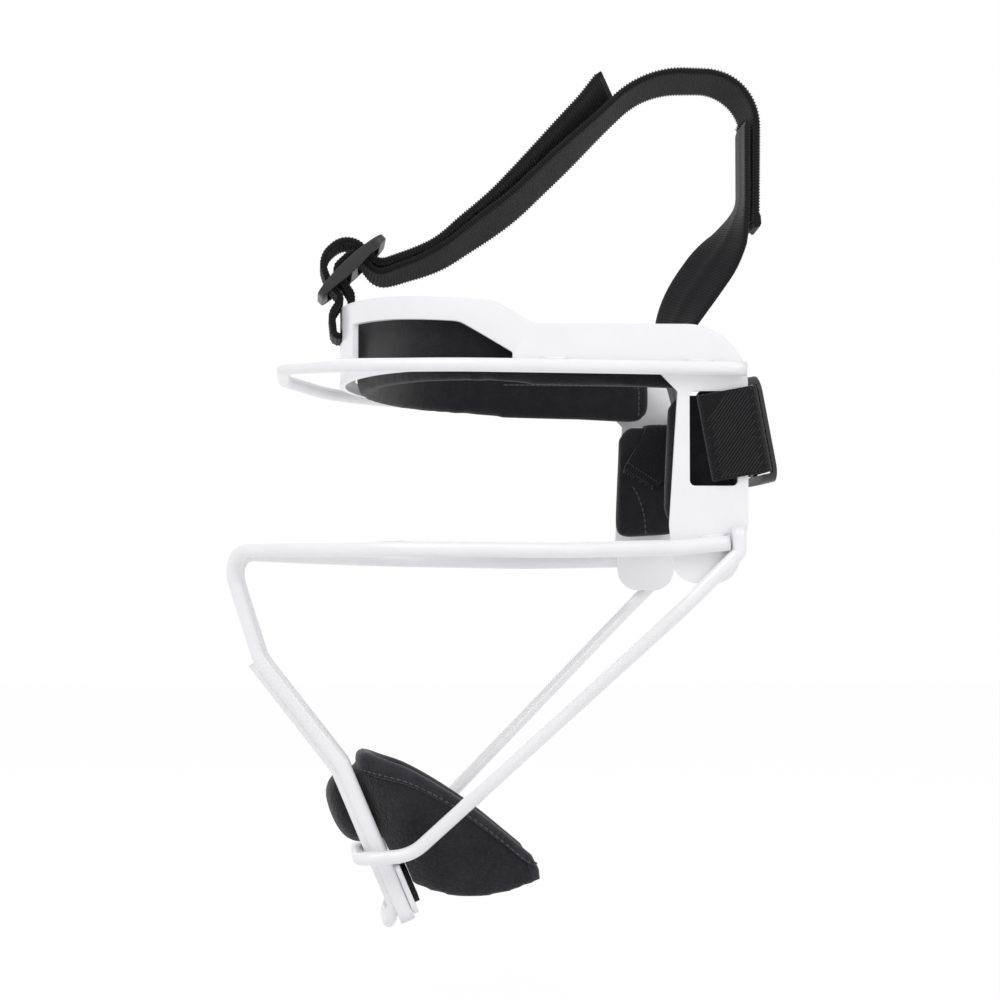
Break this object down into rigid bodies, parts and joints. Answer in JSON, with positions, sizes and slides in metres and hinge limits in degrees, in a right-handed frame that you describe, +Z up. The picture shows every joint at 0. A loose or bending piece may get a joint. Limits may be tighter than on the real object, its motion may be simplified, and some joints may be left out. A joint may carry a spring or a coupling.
{
  "type": "softball fielder's face mask",
  "caption": "Face guard for fielding: a bent sheet headband with round bars, cushions, a chin cup and adjustable webbing straps.",
  "frame": {"origin": "middle of the forehead cushion's inner face, where the forehead rests", "axes": "X across the face towards the wearer's left, Y from the face to the back of the head, Z up"},
  "size_m": [0.1786, 0.1949, 0.3138],
  "materials": {
    "white_paint": "gloss white powder coat",
    "black_knit": "napped black knit over foam",
    "black_webbing": "ribbed black elastic webbing",
    "black_plastic": "satin black moulding",
    "hook_tape": "black hook and loop tape"
  },
  "bodies": {
    "frame": {"forehead_band": "white_paint", "brow_bar": "white_paint", "cheek_bar_left": "white_paint", "cheek_bar_right": "white_paint", "front_loop": "white_paint", "jaw_bar": "white_paint", "chin_plate": "white_paint", "weld_beads": "white_paint", "forehead_hooks_left": "hook_tape", "forehead_hooks_right": "hook_tape", "temple_hooks_left": "hook_tape", "temple_hooks_right": "hook_tape", "temple_pad_left": "black_knit", "temple_pad_right": "black_knit", "chin_hooks": "hook_tape", "top_strap": "black_webbing", "riser_strap": "black_knit", "rear_strap": "black_webbing", "rear_tail_left": "black_webbing", "rear_tail_right": "black_webbing"},
    "forehead_cushion": {"forehead_pad": "black_knit", "forehead_loops_left": "hook_tape", "forehead_loops_right": "hook_tape"},
    "chin_cushion": {"chin_cup": "black_knit"},
    "top_adjuster": {"top_slider": "black_plastic"},
    "rear_adjuster_left": {"rear_slider_left": "black_plastic"},
    "rear_adjuster_right": {"rear_slider_right": "black_plastic"}
  },
  "joints": [
    {"name": "forehead_pad_pull", "type": "slide", "parent": "frame", "child": "forehead_cushion", "axis": [0, 1, 0], "range_m": [0, 0.01]},
    {"name": "chin_cup_pull", "type": "slide", "parent": "frame", "child": "chin_cushion", "axis": [0, 0.9207, 0.3903], "range_m": [0, 0.015]},
    {"name": "top_slider_rock", "type": "hinge", "parent": "frame", "child": "top_adjuster", "pos_m": [0, -0.0092, 0.033], "axis": [1, 0, 0], "range_deg": [-8, 8]},
    {"name": "rear_slider_left_slide", "type": "slide", "parent": "frame", "child": "rear_adjuster_left", "axis": [-0.9878, -0.1532, -0.0284], "range_m": [0, 0.038]},
    {"name": "rear_slider_right_slide", "type": "slide", "parent": "frame", "child": "rear_adjuster_right", "axis": [0.9878, -0.1532, -0.0284], "range_m": [0, 0.038]}
  ]
}
